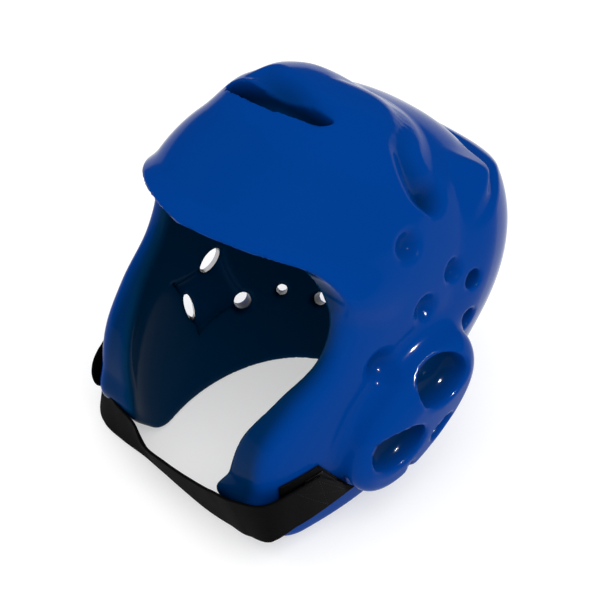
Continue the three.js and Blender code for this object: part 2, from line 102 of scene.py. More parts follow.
# Places on the wall are seen from the head's middle, in degrees: turn 0 is the face, 90 the wearer's left
# and 180 the back, a rise is over the horizon, and a tilt turns a form on the wall. Long, wide and half are
# half sizes.
CROWN_LOBE = {"turn": 25, "rise": 64.6, "tilt": 0, "long": 43.8, "wide": 34.1, "soft": 29.8, "height": 7}
CROWN_GROOVE = [
    {"turn": 0, "rise": 80, "half": 16, "depth": 0.6},
    {"turn": 71.7, "rise": 71.8, "half": 14, "depth": 1.6},
    {"turn": 66.3, "rise": 59.2, "half": 14, "depth": 4.6},
    {"turn": 77.5, "rise": 49.9, "half": 14, "depth": 7.5},
    {"turn": 86.4, "rise": 47.4, "half": 13, "depth": 10.5},
]
REAR_CREASE = [
    {"turn": 180, "rise": 53, "half": 8, "depth": 4.5},
    {"turn": 143, "rise": 50.5, "half": 8, "depth": 5.0},
    {"turn": 129, "rise": 46, "half": 8, "depth": 3.5},
    {"turn": 115, "rise": 38, "half": 8, "depth": 0.3},
]
SLOT_SLOPE = [
    {"turn": -30, "rise": 59, "half": 12, "depth": 4},
    {"turn": -6, "rise": 58.5, "half": 15, "depth": 9},
    {"turn": 20, "rise": 56, "half": 11, "depth": 5},
]
EAR_DOME = {"turn": 102.8, "rise": -24.5, "tilt": 64, "long": 50.5, "wide": 32}
EAR_DOME_HEIGHT = 23
EAR_DOME_EDGE = 13
EAR_DOME_BLEND = 8
EAR_CUPS = [
    {"turn": 94.8, "rise": -30, "tilt": 25, "long": 18.5, "wide": 14.5},
    {"turn": 101.2, "rise": -9.5, "tilt": 25, "long": 18.5, "wide": 14.5},
]
EAR_CUP_DEPTH = 15.5
CUP_FLOOR_ROUND = 9
CUP_LIP_ROUND = 3
CUP_SKIN = 3
EAR_VENTS = [
    {"turn": 92.5, "rise": -44, "tilt": 100, "long": 9, "wide": 2.8},
    {"turn": 98, "rise": -26, "tilt": 55, "long": 9, "wide": 4.2},
]
EAR_VENT_RUN = {"turn": 135, "rise": -17, "before": 20, "after": 76.7}
VENT_LIP_ROUND = 2.5
DIMPLES = [
    {"turn": 74, "rise": 31, "size": 1.1},
    {"turn": 104, "rise": 24, "size": 0.85},
    {"turn": 117, "rise": 20, "size": 0.75},
    {"turn": 93, "rise": 11, "size": 1},
    {"turn": 122, "rise": 5, "size": 0.85},
    {"turn": 80, "rise": -10, "size": 1.15},
]
DIMPLE_RADIUS = 7.5
DIMPLE_DEPTH = 5.5
DIMPLE_LIP_ROUND = 4
BACK_VENTS = [
    {"turn": 125, "rise": -38, "size": 0.85},
    {"turn": 140, "rise": -29, "size": 0.55},
    {"turn": 155, "rise": -26, "size": 0.65},
]
BACK_VENT_RADIUS = 6.5
BACK_VENT_FALL = 8
BACK_VENT_RUN = {"before": 13, "after": 44}
BACK_VENT_FLARE = {"share": 1.35, "inward": 2, "blend": 2}
TOP_SLOT = {"turn": -6.5, "rise": 54.3, "tilt": 11, "long": 38, "wide": 7.5, "bend": 5}
TOP_SLOT_DEPTH = 12
SLOT_FLOOR_ROUND = 5
SLOT_LIP_ROUND = 1.6
EAR_STAR = {"turn": 104, "rise": -38, "tilt": 0, "long": 33, "wide": 25, "depth": 4.5}
STAR_POWER = 0.8
STAR_SLOPE = 12
STAR_ROUND = 2
# The skin's mesh: its cells, the box round the shell, and the passes that draw its points on to the skin,
# each by a share of a cell at most. Farther off than COARSE_REACH, every fourth cell says enough.
SKIN_CELL = 1.95
SKIN_LOW = (-118, -122, -156)
SKIN_HIGH = (118, 142, 124)
SKIN_PASSES = 2
SKIN_STEP = 0.6
COARSE_CELLS = 4
COARSE_REACH = 11
SLOPE_REACH = 0.3
VALLEY_STEPS = 5
# A distance that is clear of every form, and two numbers that keep divisions away from zero.
FAR = 99
SMALL = 1e-3
TINY = 1e-9


# Soft step from 0 to 1.
def ramp(x):
    x = np.clip(x, 0, 1)
    return x * x * (3 - 2 * x)


# The larger or the smaller of two values, with a soft change from one to the other.
def smooth_max(a, b, blend):
    h = np.clip(0.5 + 0.5 * (a - b) / blend, 0, 1)
    return b + (a - b) * h + blend * h * (1 - h)


def smooth_min(a, b, blend):
    return -smooth_max(-a, -b, blend)


# Unit vector from the head's middle at a turn and a rise.
def toward(turn, rise):
    a, b = math.radians(turn), math.radians(rise)
    return np.array([math.sin(a) * math.cos(b), -math.cos(a) * math.cos(b), math.sin(b)])


# Distance from the head's middle to a plain rounded wall.
def wall_radius(aim, body):
    along = np.where(aim[:, 1] < 0, body["front"], body["back"])
    upward = np.where(aim[:, 2] > 0, body["top"], body["drop"])
    shares = np.stack([aim[:, 0] / body["half"], aim[:, 1] / along, aim[:, 2] / upward])
    return (np.abs(shares) ** body["roundness"]).sum(0) ** (-1 / body["roundness"])


# Place on a plain wall at a turn and a rise.
def on_wall(turn, rise, body=BODY):
    aim = toward(turn, rise)
    return aim * wall_radius(aim[None], body)[0]


# Directions along and across a form that lies on the wall.
def wall_axes(place):
    aim = toward(place["turn"], place["rise"])
    back = np.cross((0, 0, 1), aim)
    back /= np.linalg.norm(back)
    up = np.cross(aim, back)
    tilt = math.radians(place["tilt"])
    return back * math.cos(tilt) + up * math.sin(tilt), up * math.cos(tilt) - back * math.sin(tilt)


# Offsets along and across such a form, from its middle, and whether a point is on its side of the head.
def wall_offsets(points, place, body=BODY):
    aim = toward(place["turn"], place["rise"])
    along, across = wall_axes(place)
    offset = points - aim * wall_radius(aim[None], body)[0]
    return offset @ along, offset @ across, points @ aim > 0


# Distance to the border of an oval, negative inside it.
def oval_distance(along, across, place):
    share = np.hypot(along / place["long"], across / place["wide"])
    return (share - 1) * np.hypot(along, across) / np.maximum(share, SMALL)


# Places and directions on a smooth centripetal curve through stations, at shares of its run of stations.
def smooth_line(stations, shares):
    ends = 2 * stations[[0, -1]] - stations[[1, -2]]
    p = np.concatenate([ends[:1], stations, ends[1:]])
    at = np.clip(shares, 0, 1) * (len(stations) - 1)
    i = np.minimum(at.astype(int), len(stations) - 2)
    w = (at - i)[:, None]
    p0, p1, p2, p3 = p[i], p[i + 1], p[i + 2], p[i + 3]
    d0, d1, d2 = [np.sqrt(np.linalg.norm(b - a, axis=1))[:, None] for a, b in ((p0, p1), (p1, p2), (p2, p3))]
    start = ((p1 - p0) / d0 - (p2 - p0) / (d0 + d1) + (p2 - p1) / d1) * d1
    finish = ((p2 - p1) / d1 - (p3 - p1) / (d1 + d2) + (p3 - p2) / d2) * d1
    bend, curl = 3 * (p2 - p1) - 2 * start - finish, 2 * (p1 - p2) + start + finish
    return p1 + w * (start + w * (bend + w * curl)), start + w * (2 * bend + 3 * w * curl)


# Depth of a soft valley that follows a smooth path through rows of points on the wall.
def valley(surface, path):
    rows = np.array([[row[key] for key in ("turn", "rise", "half", "depth")] for row in path], float)
    rows = smooth_line(rows, np.linspace(0, 1, VALLEY_STEPS * len(rows)))[0]
    ends = np.array([on_wall(row[0], row[1]) for row in rows])
    depth = np.zeros(len(surface))
    for i in range(len(rows) - 1):
        step = ends[i + 1] - ends[i]
        t = np.clip((surface - ends[i]) @ step / (step @ step), 0, 1)
        away = np.linalg.norm(surface - ends[i] - t[:, None] * step, axis=1)
        half, full = (rows[i, 2:] + np.outer(t, rows[i + 1, 2:] - rows[i, 2:])).T
        depth = np.maximum(depth, full * ramp(1 - away / half))
    return depth


# Distances to the outer wall with its soft forms and to the plain wall, and places on the plain wall, all
# on the wearer's left and without ear domes and dents.
def outer_radius(aim):
    plain = wall_radius(aim, BODY)
    surface = aim * plain[:, None]
    turn = np.degrees(np.arctan2(surface[:, 0], -surface[:, 1]))
    level = surface[:, 2] / BODY["top"]
    radius = plain.copy()
    for form in FORMS:
        cover = ramp((form["turn"] - turn) / form["turn_soft"])
        cover *= ramp((form["top"] - level) / form["top_soft"])
        cover *= ramp((level - form["foot"]) / form["foot_soft"])
        radius += form["height"] * (form["share"] + form["slope"] * level) * cover
    along, across, facing = wall_offsets(surface, CROWN_LOBE)
    lobe = ramp(0.5 - oval_distance(along, across, CROWN_LOBE) / CROWN_LOBE["soft"])
    radius += CROWN_LOBE["height"] * lobe * facing
    return radius, plain, surface


# Distance to a form that two borders close off, with a rounded corner between them.
def rounded_corner(side, end, radius):
    side, end = side + radius, end + radius
    outside = np.hypot(np.maximum(side, 0), np.maximum(end, 0))
    return np.minimum(np.maximum(side, end), 0) + outside - radius


# Distance to a straight oval hole that runs both ways from a start; its long half lies along a direction.
def tunnel(points, start, run, before, after, along, long, wide):
    along = along - run * (along @ run)
    along /= np.linalg.norm(along)
    offset = points - start
    side = oval_distance(offset @ along, offset @ np.cross(along, run), {"long": long, "wide": wide})
    return np.maximum(side, np.maximum(-before - offset @ run, offset @ run - after))


# Setback of the face opening's edge at a height, and its slope there, on a smooth curve through the rows.
def face_edge(height):
    knots = np.array([row["height"] for row in FACE_EDGE][::-1], float)
    setbacks = np.array([row["setback"] for row in FACE_EDGE][::-1], float)
    slopes = np.gradient(setbacks, knots)
    i = np.clip(np.searchsorted(knots, height) - 1, 0, len(knots) - 2)
    span = knots[i + 1] - knots[i]
    t = np.clip((height - knots[i]) / span, 0, 1)
    rise = setbacks[i + 1] - setbacks[i]
    first, last = slopes[i] * span, slopes[i + 1] * span
    bend, curl = 3 * rise - 2 * first - last, first + last - 2 * rise
    value = setbacks[i] + t * (first + t * (bend + t * curl))
    return value, (first + t * (2 * bend + 3 * t * curl)) / span


# Points folded to the wearer's left, because the shell's sides are alike but for the top slot and its slope.
def folded(points):
    p = points.copy()
    p[:, 0] = np.abs(p[:, 0])
    return p


# Signed distances to each form of the shell, negative inside it, for points that are folded to the left.
def ear_dome(p, above_plain):
    along, across, facing = wall_offsets(p, EAR_DOME)
    side = oval_distance(along, across, EAR_DOME)
    return rounded_corner(side, above_plain - EAR_DOME_HEIGHT, EAR_DOME_EDGE), facing


def face_opening(p):
    setback, slant = face_edge(p[:, 2])
    behind = (p[:, 1] - setback) / np.sqrt(1 + slant ** 2)
    over_brow = p[:, 2] - (BROW_HEIGHT + BROW_ARCH * p[:, 0])
    return smooth_max(behind, over_brow, BROW_ROUND)


def ear_cups(p, above_plain):
    cups = np.full(len(p), float(FAR))
    for cup in EAR_CUPS:
        along, across, facing = wall_offsets(p, cup)
        floor = EAR_DOME_HEIGHT - EAR_CUP_DEPTH - above_plain
        hollow = rounded_corner(oval_distance(along, across, cup), floor, CUP_FLOOR_ROUND)
        cups = np.where(facing, np.minimum(cups, hollow), cups)
    return cups


def ear_vents(p):
    run = toward(EAR_VENT_RUN["turn"], EAR_VENT_RUN["rise"])
    before, after = EAR_VENT_RUN["before"], EAR_VENT_RUN["after"]
    for vent in EAR_VENTS:
        start = on_wall(vent["turn"], vent["rise"], CAVITY)
        yield tunnel(p, start, run, before, after, wall_axes(vent)[0], vent["long"], vent["wide"])


def dimples(p):
    for dimple in DIMPLES:
        wide = DIMPLE_RADIUS * dimple["size"]
        ball = (wide ** 2 + DIMPLE_DEPTH ** 2) / (2 * DIMPLE_DEPTH)
        outwards = toward(dimple["turn"], dimple["rise"])
        middle = on_wall(dimple["turn"], dimple["rise"]) + outwards * (ball - DIMPLE_DEPTH)
        yield np.linalg.norm(p - middle, axis=1) - ball


def back_vents(p):
    before, after = BACK_VENT_RUN["before"], BACK_VENT_RUN["after"]
    for vent in BACK_VENTS:
        start = on_wall(vent["turn"], vent["rise"], CAVITY)
        outwards = toward(vent["turn"], -BACK_VENT_FALL)
        wide = BACK_VENT_RADIUS * vent["size"]
        bore = tunnel(p, start, outwards, before, after, np.array([0, 0, 1.0]), wide, wide)
        away = np.linalg.norm(p - start + outwards * BACK_VENT_FLARE["inward"], axis=1)
        yield smooth_min(bore, away - BACK_VENT_FLARE["share"] * wide, BACK_VENT_FLARE["blend"])


# The slot lies to one side, so its points aren't folded.
def top_slot(points, above_plain):
    along, across, facing = wall_offsets(points, TOP_SLOT)
    across = across - TOP_SLOT["bend"] * (along / TOP_SLOT["long"]) ** 2
    floor = -TOP_SLOT_DEPTH - above_plain
    slot = rounded_corner(oval_distance(along, across, TOP_SLOT), floor, SLOT_FLOOR_ROUND)
    return np.where(facing, slot, FAR)


def ear_star(p, under):
    along, across, facing = wall_offsets(p, EAR_STAR, CAVITY)
    star = np.abs(along / EAR_STAR["long"]) ** STAR_POWER + np.abs(across / EAR_STAR["wide"]) ** STAR_POWER
    pocket = rounded_corner((star - 1) * STAR_SLOPE, -under - EAR_STAR["depth"], STAR_ROUND)
    return np.where(facing, pocket, FAR)


# Signed height over the vinyl skin, negative in the foam.
def foam(points):
    p = folded(points)
    r = np.linalg.norm(p, axis=1) + TINY
    aim = p / r[:, None]
    radius, plain, surface = outer_radius(aim)
    radius = radius - valley(surface, CROWN_GROOVE) - valley(surface, REAR_CREASE)
    radius -= valley(points / r[:, None] * plain[:, None], SLOT_SLOPE)
    above_plain = r - plain
    under = wall_radius(aim, CAVITY) - r

    skin = r - radius
    dome, facing = ear_dome(p, above_plain)
    skin = np.where(facing, smooth_min(skin, dome, EAR_DOME_BLEND), skin)
    skin = smooth_max(skin, under, RIM_ROUND)
    edge_round = FACE_ROUND - (FACE_ROUND - BROW_EDGE_ROUND) * ramp(p[:, 2] / BROW_HEIGHT)
    skin = smooth_max(skin, -face_opening(p), edge_round)
    height = p[:, 2] * math.cos(LEAN_BACK) - p[:, 1] * math.sin(LEAN_BACK)
    skin = smooth_max(skin, -RIM_DROP - height, RIM_ROUND)

    cups = ear_cups(p, above_plain)
    skin = smooth_max(skin, -cups, CUP_LIP_ROUND)
    for vent in ear_vents(p):
        clear = smooth_max(vent, CUP_SKIN - cups, VENT_LIP_ROUND)
        skin = smooth_max(skin, -clear, VENT_LIP_ROUND)
    for dimple in dimples(p):
        skin = smooth_max(skin, -dimple, DIMPLE_LIP_ROUND)
    for vent in back_vents(p):
        skin = smooth_max(skin, -vent, VENT_LIP_ROUND)
    skin = smooth_max(skin, -top_slot(points, above_plain), SLOT_LIP_ROUND)
    return smooth_max(skin, -ear_star(p, under), STAR_ROUND)


# Values of a field on a grid; away from the skin, a coarse first pass says enough.
def grid_values(field, low, counts, cell):
    index = [np.arange(n) for n in counts]
    rough_index = [np.arange(0, n + COARSE_CELLS, COARSE_CELLS) for n in counts]
    rough = np.stack(np.meshgrid(*rough_index, indexing="ij"), -1).reshape(-1, 3) * cell + low
    rough = field(rough).reshape([len(i) for i in rough_index])
    nearest = [np.round(i / COARSE_CELLS).astype(int) for i in index]
    values = rough[np.ix_(*nearest)]
    near = np.argwhere(np.abs(values) < COARSE_REACH)
    values[tuple(near.T)] = field(near * cell + low)
    return values


# Closed skin of quads round the negative part of a field: a vertex in each cell that the skin passes,
# drawn on to the skin, and a quad across each grid edge that it crosses.
def skin_mesh(field, low, high, cell):
    low, high = np.array(low, float), np.array(high, float)
    counts = np.ceil((high - low) / cell).astype(int) + 1
    values = grid_values(field, low, counts, cell)
    inside = values < 0
    cells = counts - 1

    def corner(array, offset):
        return array[tuple(slice(o, o + n) for o, n in zip(offset, cells))]

    corners = list(np.ndindex(2, 2, 2))
    total = np.zeros(tuple(cells), int)
    for offset in corners:
        total += corner(inside, offset)
    crossed = (total > 0) & (total < len(corners))
    sums = np.zeros(tuple(cells) + (3,))
    hits = np.zeros(tuple(cells))
    for axis in range(3):
        for offset in corners:
            if offset[axis]:
                continue
            far = tuple(o + (k == axis) for k, o in enumerate(offset))
            a, b = corner(values, offset), corner(values, far)
            cross = (a < 0) != (b < 0)
            t = np.where(cross, a / np.where(cross, a - b, 1), 0)
            for k in range(3):
                sums[..., k] += cross * (offset[k] + (t if k == axis else 0))
            hits += cross
    where = np.argwhere(crossed)
    number = np.full(tuple(cells), -1)
    number[crossed] = np.arange(len(where))
    points = (where + sums[crossed] / hits[crossed][:, None]) * cell + low

    quads = []
    for axis in range(3):
        others = [k for k in range(3) if k != axis]
        near, far = [slice(None)] * 3, [slice(None)] * 3
        near[axis], far[axis] = slice(0, cells[axis]), slice(1, cells[axis] + 1)
        for k in others:
            near[k] = far[k] = slice(1, cells[k])
        first, second = inside[tuple(near)], inside[tuple(far)]
        at = np.argwhere(first != second)
        outward = first[first != second]
        for k in others:
            at[:, k] += 1
        ring = []
        for du, dv in ((-1, -1), (0, -1), (0, 0), (-1, 0)):
            place = at.copy()
            place[:, others[0]] += du
            place[:, others[1]] += dv
            ring.append(number[tuple(place.T)])
        ring = np.stack(ring, 1)
        turned = outward if axis == 1 else ~outward
        ring[turned] = ring[turned][:, ::-1]
        quads.append(ring)

    for _ in range(SKIN_PASSES):
        slope = field_slope(field, points)
        step = -(field(points) / np.maximum((slope ** 2).sum(1), SMALL))[:, None] * slope
        length = np.linalg.norm(step, axis=1, keepdims=True)
        points = points + step * np.minimum(1, SKIN_STEP * cell / np.maximum(length, TINY))
    return points, np.concatenate(quads), field_slope(field, points)


# Slope of a field at points, which points outwards at the skin.
def field_slope(field, points):
    steps = np.eye(3) * SLOPE_REACH
    return np.stack([field(points + step) - field(points - step) for step in steps], 1) / (2 * SLOPE_REACH)


# From the worn frame to the one in which it stands, and back.
def turned_to_rest(vectors):
    c, s = math.cos(LEAN_BACK), math.sin(LEAN_BACK)
    x, y, z = vectors.T
    return np.stack([x, y * c + z * s, z * c - y * s], 1)


def turned_to_worn(vectors):
    c, s = math.cos(LEAN_BACK), math.sin(LEAN_BACK)
    x, y, z = vectors.T
    return np.stack([x, y * c - z * s, z * c + y * s], 1)


def new_mesh(name, points, faces):
    mesh = bpy.data.meshes.new(name)
    mesh.from_pydata(points.tolist(), [], faces.tolist())
    mesh.validate()
    mesh.polygons.foreach_set("use_smooth", [True] * len(mesh.polygons))
    piece = bpy.data.objects.new(name, mesh)
    scene.collection.objects.link(piece)
    return piece


points, quads, slope = skin_mesh(foam, SKIN_LOW, SKIN_HIGH, SKIN_CELL)
shell = new_mesh("foam_shell", turned_to_rest(points) / MM_PER_METRE + np.array(HEAD_MIDDLE), quads)
outward = turned_to_rest(slope)
outward /= np.linalg.norm(outward, axis=1, keepdims=True)
shell.data.normals_split_custom_set_from_vertices(outward.tolist())


# A new Principled material, and its nodes, links and shader.
def new_material(name, colour, roughness, specular):
    material = bpy.data.materials.new(name)
    material.use_nodes = True
    tree = material.node_tree
    shader = tree.nodes["Principled BSDF"]
    shader.inputs["Base Color"].default_value = (*colour, 1)
    shader.inputs["Roughness"].default_value = roughness
    shader.inputs["Specular IOR Level"].default_value = specular
    return material, tree.nodes, tree.links, shader


# Node group that puts out how uneven a skin or cloth is: broad waves with a fine grain over them.
def uneven_surface():
    tree = bpy.data.node_groups.new("uneven_surface", "ShaderNodeTree")
    tree.interface.new_socket("Vector", in_out="INPUT", socket_type="NodeSocketVector")
    for name in ("Wave Scale", "Grain Scale", "Grain Share"):
        tree.interface.new_socket(name, in_out="INPUT", socket_type="NodeSocketFloat")
    tree.interface.new_socket("Height", in_out="OUTPUT", socket_type="NodeSocketFloat")
    entry, leave = tree.nodes.new("NodeGroupInput"), tree.nodes.new("NodeGroupOutput")
    noises = []
    for scale in ("Wave Scale", "Grain Scale"):
        noise = tree.nodes.new("ShaderNodeTexNoise")
        noise.inputs["Detail"].default_value = 3
        tree.links.new(entry.outputs["Vector"], noise.inputs["Vector"])
        tree.links.new(entry.outputs[scale], noise.inputs["Scale"])
        noises.append(noise)
    mix = tree.nodes.new("ShaderNodeMix")
    tree.links.new(entry.outputs["Grain Share"], mix.inputs["Factor"])
    tree.links.new(noises[0].outputs["Fac"], mix.inputs["A"])
    tree.links.new(noises[1].outputs["Fac"], mix.inputs["B"])
    tree.links.new(mix.outputs["Result"], leave.inputs["Height"])
    return tree


UNEVEN_SURFACE = uneven_surface()


# Bumps a shader with the uneven surface, in Object coordinates.
def add_unevenness(nodes, links, shader, wave, grain, share, strength, distance):
    place = nodes.new("ShaderNodeTexCoord")
    group = nodes.new("ShaderNodeGroup")
    group.node_tree = UNEVEN_SURFACE
    group.inputs["Wave Scale"].default_value = wave
    group.inputs["Grain Scale"].default_value = grain
    group.inputs["Grain Share"].default_value = share
    bump = nodes.new("ShaderNodeBump")
    bump.inputs["Strength"].default_value = strength
    bump.inputs["Distance"].default_value = distance
    links.new(place.outputs["Object"], group.inputs["Vector"])
    links.new(group.outputs["Height"], bump.inputs["Height"])
    links.new(bump.outputs["Normal"], shader.inputs["Normal"])


VINYL_BLUE = (0.0, 0.038, 0.228)
# Painted shade: darker tones that the vinyl's colour turns to in dents and in the head cavity, where shade
# falls.
RECESS_SHADE_BLUE = (0.0, 0.018, 0.075)
CAVITY_SHADE_BLUE = (0.0, 0.021, 0.062)
DEEP_AT = 14
INSIDE_REACH = 8
INSIDE_SOFT = 5


# How far down in a dent each point lies and how far it is in the head cavity, from 0 to 1: painted shade,
# which darkens the vinyl's colour in both, where shade falls.
def painted_shade_shares(points):
    p = folded(points)
    r = np.linalg.norm(p, axis=1)
    aim = p / r[:, None]
    radius, plain, _ = outer_radius(aim)
    along, across, facing = wall_offsets(p, EAR_DOME)
    on_dome = ramp(-oval_distance(along, across, EAR_DOME) / EAR_DOME_EDGE) * facing
    recess_shade = ramp((np.maximum(radius, plain + EAR_DOME_HEIGHT * on_dome) - r) / DEEP_AT)
    inside = ramp((wall_radius(aim, CAVITY) + INSIDE_REACH - r) / INSIDE_SOFT)
    return recess_shade, inside


vinyl, nodes, links, shader = new_material("dipped_vinyl", VINYL_BLUE, roughness=0.12, specular=0.02)
colour = None
# Painted shade: the vinyl's colour is mixed towards the darker tones by these shares, in dents and in the
# head cavity.
for name, shade_colour, share in zip(("recess_shade", "inside"), (RECESS_SHADE_BLUE, CAVITY_SHADE_BLUE), painted_shade_shares(points)):
    shell.data.attributes.new(name, "FLOAT", "POINT").data.foreach_set("value", share)
    mask = nodes.new("ShaderNodeAttribute")
    mask.attribute_name = name
    mix = nodes.new("ShaderNodeMix")
    mix.data_type = "RGBA"
    mix.inputs["A"].default_value = (*VINYL_BLUE, 1)
    mix.inputs["B"].default_value = (*shade_colour, 1)
    if colour:
        links.new(colour, mix.inputs["A"])
    links.new(mask.outputs["Fac"], mix.inputs["Factor"])
    colour = mix.outputs["Result"]
links.new(colour, shader.inputs["Base Color"])
add_unevenness(nodes, links, shader, wave=75, grain=900, share=0.22, strength=0.16, distance=0.0005)
shell.data.materials.append(vinyl)
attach(shell, "root")
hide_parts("shell")

# Loop patches: oblongs of black loop tape glued to both cheeks, with a slanted rear end like the strap's.
# They are a few millimetres longer and taller than the part of the strap that closes over them.
STRAP_WIDTH = 33
STRAP_END_SLANT = 21
TAPE_THICKNESS = 1.3
PATCH_LENGTH = 36
PATCH_HEIGHT = 38
PATCH_EDGE = 0.6
FASTENING_HEIGHT = 39
FASTENING_RISE = 0.2
FASTENING_SETBACK = 10
SEAT_GAP = 0.35
NAP_BLACK = (0.0025, 0.0025, 0.003)
TAPE_STEPS = (40, 34)
EDGE_STEPS = 6
WALL_HALVINGS = 26
WALL_STEP = 2
# How far the cheeks reach ahead of the head's middle, as it stands.
FRONT_REACH = max(
    row["height"] * -math.sin(LEAN_BACK) - row["setback"] * math.cos(LEAN_BACK) for row in FACE_EDGE
)


# Half width of the shell's outer wall as it stands, at distances behind the head's middle and heights over
# the floor.
def cheek_wall(y, z):
    low, high = np.zeros(y.shape), np.full(y.shape, 2 * BODY["half"])
    for _ in range(WALL_HALVINGS):
        x = (low + high) / 2
        worn = turned_to_worn(np.stack([x, y, z - RIM_DROP], -1).reshape(-1, 3))
        r = np.linalg.norm(worn, axis=1)
        inside = (r < outer_radius(worn / r[:, None])[0]).reshape(y.shape)
        low, high = np.where(inside, x, low), np.where(inside, high, x)
    return low


# Places on a sheet that lies on a cheek, and its outward directions, at distances back from the cheeks'
# front, heights over the floor and a lift off the wall.
def cheek_places(side, back, height, lift):
    y = back - FRONT_REACH
    x = cheek_wall(y, height)
    none = np.zeros(y.shape)
    rearward = np.stack([cheek_wall(y + WALL_STEP, height) - x, none + WALL_STEP, none], -1)
    upward = np.stack([cheek_wall(y, height + WALL_STEP) - x, none, none + WALL_STEP], -1)
    out = np.cross(rearward, upward)
    out /= np.linalg.norm(out, axis=-1, keepdims=True)
    mirror = np.array([side, 1, 1])
    return (np.stack([x, y, height], -1) + out * lift) * mirror, out * mirror


# Height of the middle of the strap and its tapes, which rise rearwards.
def fastening_height(back):
    return FASTENING_HEIGHT + FASTENING_RISE * (back - FASTENING_SETBACK - PATCH_LENGTH / 2)


# Distances across a sheet from border to border, closer together where its border is rounded.
def sheet_steps(length, edge, count):
    curve = edge * (1 - np.cos(np.linspace(0, math.pi / 2, EDGE_STEPS)))
    return np.concatenate([curve, np.linspace(edge, length - edge, count)[1:-1], length - curve[::-1]])


# Half thickness of a sheet with half-round borders, at distances along and across it.
def rounded_half(along, across, edge, thickness):
    border = np.minimum(np.minimum(along - along.min(), along.max() - along),
                        np.minimum(across - across.min(), across.max() - across))
    inward = np.clip(border / edge, 0, 1)
    return thickness / 2 * np.sqrt(1 - (1 - inward) ** 2)


# Closed sheet from a grid of places on its middle layer; its two faces meet along the border.
def sheet_mesh(name, middle, out, half):
    rows, columns = half.shape
    over = np.arange(rows * columns).reshape(rows, columns)
    under = over + rows * columns
    edge = np.ones((rows, columns), bool)
    edge[1:-1, 1:-1] = False
    under = np.where(edge, over, under)
    points = np.concatenate([(middle + out * half[..., None]).reshape(-1, 3),
                             (middle - out * half[..., None]).reshape(-1, 3)])
    quads = []
    for layer, order in ((over, (0, 1, 2, 3)), (under, (3, 2, 1, 0))):
        ring = [layer[:-1, :-1], layer[1:, :-1], layer[1:, 1:], layer[:-1, 1:]]
        quads.append(np.stack([ring[k].ravel() for k in order], 1))
    quads = np.concatenate(quads)
    used, quads = np.unique(quads, return_inverse=True)
    quads = quads.reshape(-1, 4)
    return new_mesh(name, points[used] / MM_PER_METRE + np.array([0, HEAD_MIDDLE.y, 0]), quads)


# Oblong of tape on a cheek, with a slanted rear end.
def cheek_sheet(name, side, back_from, length, width, lift, edge):
    slant = STRAP_END_SLANT * width / STRAP_WIDTH
    steps = [sheet_steps(size, edge, count) for size, count in zip((length, width), TAPE_STEPS)]
    along, across = np.meshgrid(*steps, indexing="ij")
    half = rounded_half(along, across, edge, TAPE_THICKNESS)
    share = along / length
    back = back_from + share * (length - slant * (across / width - 0.5))
    height = fastening_height(back) + across - width / 2
    middle, out = cheek_places(side, back, height, lift + TAPE_THICKNESS / 2)
    if side > 0:
        middle, out, half = middle[::-1], out[::-1], half[::-1]
    return sheet_mesh(name, middle, out, half)


nap, nodes, links, shader = new_material("loop_nap", NAP_BLACK, roughness=0.95, specular=0.05)
add_unevenness(nodes, links, shader, wave=900, grain=3000, share=0.5, strength=0.8, distance=0.0004)
for side, name in ((1, "left"), (-1, "right")):
    patch = cheek_sheet("loop_tape_" + name, side, back_from=FASTENING_SETBACK, length=PATCH_LENGTH,
                        width=PATCH_HEIGHT, lift=SEAT_GAP, edge=PATCH_EDGE)
    patch.data.materials.append(nap)
    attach(patch, "root")
    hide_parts("loop_patch_" + name)

# Hook tabs: short pieces of hook tape sewn under the strap's ends, which grip the loop patches. The strap
# hides all but their edges.
TAB_LENGTH = 20
TAB_MARGIN = 1.5
TAB_LIFT = SEAT_GAP + TAPE_THICKNESS + SEAT_GAP
TAB_SETBACK = FASTENING_SETBACK + PATCH_LENGTH - TAB_LENGTH - TAB_MARGIN
TAB_EDGE = 0.5
HOOK_BLACK = (0.004, 0.004, 0.005)

hooks, nodes, links, shader = new_material("hook_nylon", HOOK_BLACK, roughness=0.6, specular=0.1)
add_unevenness(nodes, links, shader, wave=1400, grain=4000, share=0.4, strength=0.6, distance=0.0003)
for side, name in ((1, "left"), (-1, "right")):
    tab = cheek_sheet("hook_tape_" + name, side, back_from=TAB_SETBACK, length=TAB_LENGTH,
                      width=STRAP_WIDTH - 2 * TAB_MARGIN, lift=TAB_LIFT, edge=TAB_EDGE)
    tab.data.materials.append(hooks)
    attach(tab, "root")
    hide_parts("hook_tab_" + name)

# Chin strap: one length of black ribbed elastic webbing with rounded selvedges. It closes over the loop
# patches, hangs between the cheeks and stands on its lower edge, leaning forward.
STRAP_THICKNESS = 1.8
STRAP_GAP = 0.5
STRAP_LIFT = TAB_LIFT + TAPE_THICKNESS + STRAP_GAP
STRAP_END = FASTENING_SETBACK + PATCH_LENGTH + STRAP_END_SLANT / 2 - TAB_MARGIN
FLOOR_GAP = 0.6
RIB_PITCH = 1.5
RIB_HEIGHT = 0.12
SELVEDGE = 0.9
END_EDGE_SHARE = 0.002
STRAP_STEPS = (320, 90)
CHEEK_STATIONS = 5
LENGTH_STEPS = 3000
WEBBING_BLACK = (0.0015, 0.0015, 0.0018)
